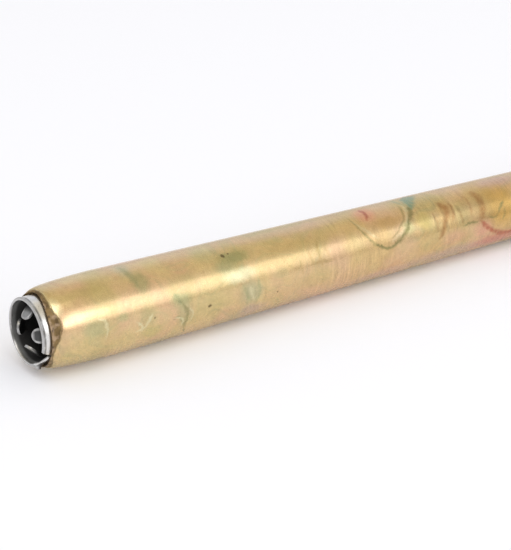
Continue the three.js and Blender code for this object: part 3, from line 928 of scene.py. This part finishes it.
def prong_tree():
    """A strip that runs forward from its root, curls in and ends in a straight slant and a round tip."""
    sizes = ["Width", "Run", "Curl radius", "Curl angle", "End length", "Dish", "Turn"]
    sizes += ["Bright edge width", "Tarnish and shade"]
    tree, graph, given = geometry_tree("sprung prong", ["Rows", "Columns"], sizes, ["Root"])
    grid, row, column = grid_cell(graph, given["Rows"], given["Columns"])
    curl = graph.math("MULTIPLY", given["Curl radius"], given["Curl angle"])
    length = graph.math("ADD", graph.math("ADD", given["Run"], curl), given["End length"])
    # Rows lie closer together towards the tip
    left = graph.math("SUBTRACT", 1.0, share_of(graph, row, given["Rows"]))
    eased = graph.math("SUBTRACT", 1.0, graph.math("POWER", left, 1.6))
    distance = graph.math("MULTIPLY", eased, length)
    past = graph.math("MAXIMUM", graph.math("SUBTRACT", distance, given["Run"]), 0.0)
    lean = graph.math("MINIMUM", graph.math("DIVIDE", past, given["Curl radius"]), given["Curl angle"])
    slant = graph.math("MAXIMUM", graph.math("SUBTRACT", past, curl), 0.0)
    straight = graph.math("MINIMUM", distance, given["Run"])
    sine = graph.math("SINE", lean)
    cosine = graph.math("COSINE", lean)
    forward = graph.math("MULTIPLY_ADD", given["Curl radius"], sine, straight)
    forward = graph.math("MULTIPLY_ADD", slant, cosine, forward)
    inward = graph.math("MULTIPLY", given["Curl radius"], graph.math("SUBTRACT", 1.0, cosine))
    inward = graph.math("MULTIPLY_ADD", slant, sine, inward)
    half = graph.math("MULTIPLY", given["Width"], 0.5)
    into_tip = graph.math("SUBTRACT", distance, graph.math("SUBTRACT", length, half))
    into_tip = graph.math("MAXIMUM", into_tip, 0.0)
    into_tip_squared = graph.math("MULTIPLY", into_tip, into_tip)
    chord = graph.math("SUBTRACT", graph.math("MULTIPLY", half, half), into_tip_squared)
    half_here = graph.math("SQRT", graph.math("MAXIMUM", chord, PRONG_BLUNT_HALF_WIDTH ** 2))
    side = graph.math("MULTIPLY_ADD", share_of(graph, column, given["Columns"]), 2.0, -1.0)
    across = graph.math("MULTIPLY", side, half_here)
    lateral = graph.math("DIVIDE", across, half)
    sag = graph.math("MULTIPLY", graph.math("MULTIPLY", lateral, lateral), given["Dish"])
    down = graph.math("ADD", inward, graph.math("MULTIPLY", sag, cosine))
    ahead = graph.math("SUBTRACT", graph.math("MULTIPLY", sag, sine), forward)
    local = graph.combine(ahead, across, graph.math("MULTIPLY", down, -1.0))
    moved = graph.vector("ADD", local, given["Root"])
    values = {"Vector": moved, "Angle": given["Turn"]}
    turned = graph.add("ShaderNodeVectorRotate", values, rotation_type="X_AXIS").outputs[0]
    # A band along the edges and tip keeps bright steel; the rest of the face takes the dark face colour, for
    # tarnishing and painted shade
    from_side = graph.math("SUBTRACT", half_here, graph.math("ABSOLUTE", across))
    from_tip = graph.math("SUBTRACT", length, distance)
    from_edge = graph.math("MINIMUM", from_side, from_tip)
    bright_edge = graph.ramp(graph.math("DIVIDE", from_edge, given["Bright edge width"]), 0.5, 1.0, 1.0, 0.0)
    clean_and_lit = graph.math("SUBTRACT", 1.0, given["Tarnish and shade"])
    marked = stored_number(graph, grid, "bright", graph.math("MAXIMUM", bright_edge, clean_and_lit))
    finish_tree(graph, placed(graph, marked, turned), given["Material"])
    return tree


def make_prongs():
    """One prong on each sprung body, turned to where its hinge lies."""
    tree = prong_tree()
    material = steel_material(
        "spring steel",
        colour=(0.66, 0.655, 0.64, 1),
        dark=(0.40, 0.39, 0.37, 1),
        dull_from=-0.8,
        dull_length=0.6,
        dulled_and_shaded=(0.026, 0.025, 0.024, 1),
        roughness=0.34,
        # Dark face colour: tarnishing and painted shade
        face=(0.065, 0.065, 0.064, 1),
    )
    slant_forward = PRONG_END_LENGTH * math.cos(PRONG_CURL_ANGLE)
    curl_forward = PRONG_CURL_RADIUS * math.sin(PRONG_CURL_ANGLE)
    # How dark each prong's face is, as tarnishing and partly painted shade, and how far in from its edge the steel
    # stays bright, as wear and partly painted light
    wear = {
        "prong_top": (0.55, 0.26 * MM),
        "prong_near": (0.95, 0.34 * MM),
        "prong_bottom": (0.8, 0.24 * MM),
        "prong_far": (0.95, 0.10 * MM),
    }
    for number, (body, (tarnish_and_shade, bright_edge_width)) in enumerate(wear.items(), start=1):
        spoke = pen_to_row.inverted() @ hinges[body]
        values = {
            "Rows": PRONG_ROWS,
            "Columns": PRONG_COLUMNS,
            "Width": PRONG_WIDTH,
            "Run": PRONG_ROOT_X - PRONG_TIP_X - slant_forward - curl_forward,
            "Curl radius": PRONG_CURL_RADIUS,
            "Curl angle": PRONG_CURL_ANGLE,
            "End length": PRONG_END_LENGTH,
            "Dish": PRONG_DISH,
            "Root": (PRONG_ROOT_X, 0, math.hypot(spoke.y, spoke.z)),
            "Turn": math.atan2(-spoke.y, spoke.z),
            "Bright edge width": bright_edge_width,
            "Tarnish and shade": tarnish_and_shade,
            "Material": material,
        }
        mesh = bpy.data.meshes.new(f"prong {number}")
        finish = sheet_finish(PRONG_SHEET, PRONG_EDGE_ROUNDING)
        piece = built(f"spring_prong_{number}", mesh, tree, values, finish)
        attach(piece, body)
        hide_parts(f"prong_{number}")
    hub = frame["nodes"]["prong_hub"]
    for slot in hub.material_slots:
        slot.material = material


# Stage

def make_camera():
    camera = bpy.data.objects.new("camera", bpy.data.cameras.new("camera"))
    bpy.context.scene.collection.objects.link(camera)
    camera.data.sensor_fit = "HORIZONTAL"
    camera.data.sensor_width = SENSOR_WIDTH
    camera.data.lens = FOCAL_PIXELS / IMAGE_WIDTH * SENSOR_WIDTH
    camera.data.clip_start = 10 * MM
    camera.data.clip_end = 10
    level = Vector((math.sin(VIEW_TURN), math.cos(VIEW_TURN), 0))
    forward = level * math.cos(VIEW_DROP) - Vector((0, 0, math.sin(VIEW_DROP)))
    right = Vector((math.cos(VIEW_TURN), -math.sin(VIEW_TURN), 0))
    up = right.cross(forward)
    across = (RIM_PIXEL[0] - IMAGE_WIDTH / 2) / FOCAL_PIXELS
    down = (RIM_PIXEL[1] - IMAGE_HEIGHT / 2) / FOCAL_PIXELS
    ray = forward + right * across - up * down
    rim = pen_to_row @ Vector((-SLEEVE_PROTRUSION, 0, 0))
    turn = Matrix((right, up, -forward)).transposed().to_4x4()
    camera.matrix_world = Matrix.Translation(rim - ray * RIM_DISTANCE) @ turn
    bpy.context.scene.camera = camera


def is_seen(graph):
    """1 for what the camera sees straight on, in a reflection or through something clear."""
    path = graph.add("ShaderNodeLightPath").outputs
    reflected = graph.math("MAXIMUM", path["Is Glossy Ray"], path["Is Transmission Ray"])
    return graph.math("MAXIMUM", path["Is Camera Ray"], reflected)


def make_floor():
    """A white surface just under the handle, which keeps the pen's shadow."""
    lowest = -SHOULDER_RADIUS * (1 - math.cos(math.pi / CAD_SIDES))
    mesh = bpy.data.meshes.new("floor")
    signs = ((-1, -1), (1, -1), (1, 1), (-1, 1))
    corners = [(x * FLOOR_REACH, y * FLOOR_REACH, lowest) for x, y in signs]
    mesh.from_pydata(corners, [], [(0, 1, 2, 3)])
    floor = bpy.data.objects.new("floor", mesh)
    bpy.context.scene.collection.objects.link(floor)
    material = bpy.data.materials.new("white surface")
    graph = empty_graph(material)
    paper = graph.add("ShaderNodeBsdfDiffuse", {"Color": (0.80, 0.80, 0.80, 1)})
    white = graph.add("ShaderNodeBsdfDiffuse", {"Color": (0.97, 0.97, 1.0, 1)})
    glow = graph.add("ShaderNodeEmission", {"Color": (1.0, 0.98, 1.0, 1), "Strength": 0.09})
    lifted = graph.add("ShaderNodeAddShader", {0: white.outputs[0], 1: glow.outputs[0]})
    values = {0: is_seen(graph), 1: paper.outputs[0], 2: lifted.outputs[0]}
    mixed = graph.add("ShaderNodeMixShader", values)
    graph.add("ShaderNodeOutputMaterial", {"Surface": mixed.outputs[0]})
    mesh.materials.append(material)


def make_world():
    """White all round, warmer overhead, and dimmer at the horizon and where the photographer stands."""
    world = bpy.data.worlds.new("white room")
    graph = empty_graph(world)
    direction = graph.add("ShaderNodeTexCoord").outputs["Generated"]
    height = graph.separate(direction)[2]
    wall = graph.mix(graph.ramp(height, 0.08, 0.35), (0.72, 0.70, 0.68, 1), (0.88, 0.90, 0.96, 1))
    room = graph.mix(graph.ramp(height, 0.55, 0.86), wall, (0.78, 0.71, 0.57, 1))
    toward = Vector((-math.sin(VIEW_TURN), -math.cos(VIEW_TURN), math.tan(VIEW_DROP))).normalized()
    nearness = graph.vector("DOT_PRODUCT", direction, toward)
    room = graph.mix(graph.ramp(nearness, 0.74, 0.90), room, (0.22, 0.21, 0.20, 1))
    seen = graph.add("ShaderNodeBackground", {"Color": room, "Strength": 1.0})
    light = graph.add("ShaderNodeBackground", {"Color": (1, 1, 1, 1), "Strength": 0.70})
    values = {0: is_seen(graph), 1: light.outputs[0], 2: seen.outputs[0]}
    mixed = graph.add("ShaderNodeMixShader", values)
    graph.add("ShaderNodeOutputWorld", {"Surface": mixed.outputs[0]})
    bpy.context.scene.world = world


def make_softbox(name, place, width, height, lean, radiance):
    """A rectangular lamp that faces the nib end, turned in its own plane by some degrees.

    Its radiance is what a mirror shows of it, where white is 1."""
    data = bpy.data.lights.new(name, "AREA")
    data.shape = "RECTANGLE"
    data.size = width
    data.size_y = height
    data.energy = radiance * math.pi * width * height
    lamp = bpy.data.objects.new(name, data)
    bpy.context.scene.collection.objects.link(lamp)
    aim = (LAMP_TARGET - Vector(place)).to_track_quat("-Z", "Y").to_matrix().to_4x4()
    leaning = Matrix.Rotation(math.radians(lean), 4, "Z")
    lamp.matrix_world = Matrix.Translation(place) @ aim @ leaning
    lamp.visible_camera = False


make_camera()
make_world()
make_floor()
for title, settings in SOFTBOXES.items():
    make_softbox(title, *settings)
make_handle()
make_sleeve()
make_prongs()

bpy.context.scene.view_settings.view_transform = "Standard"
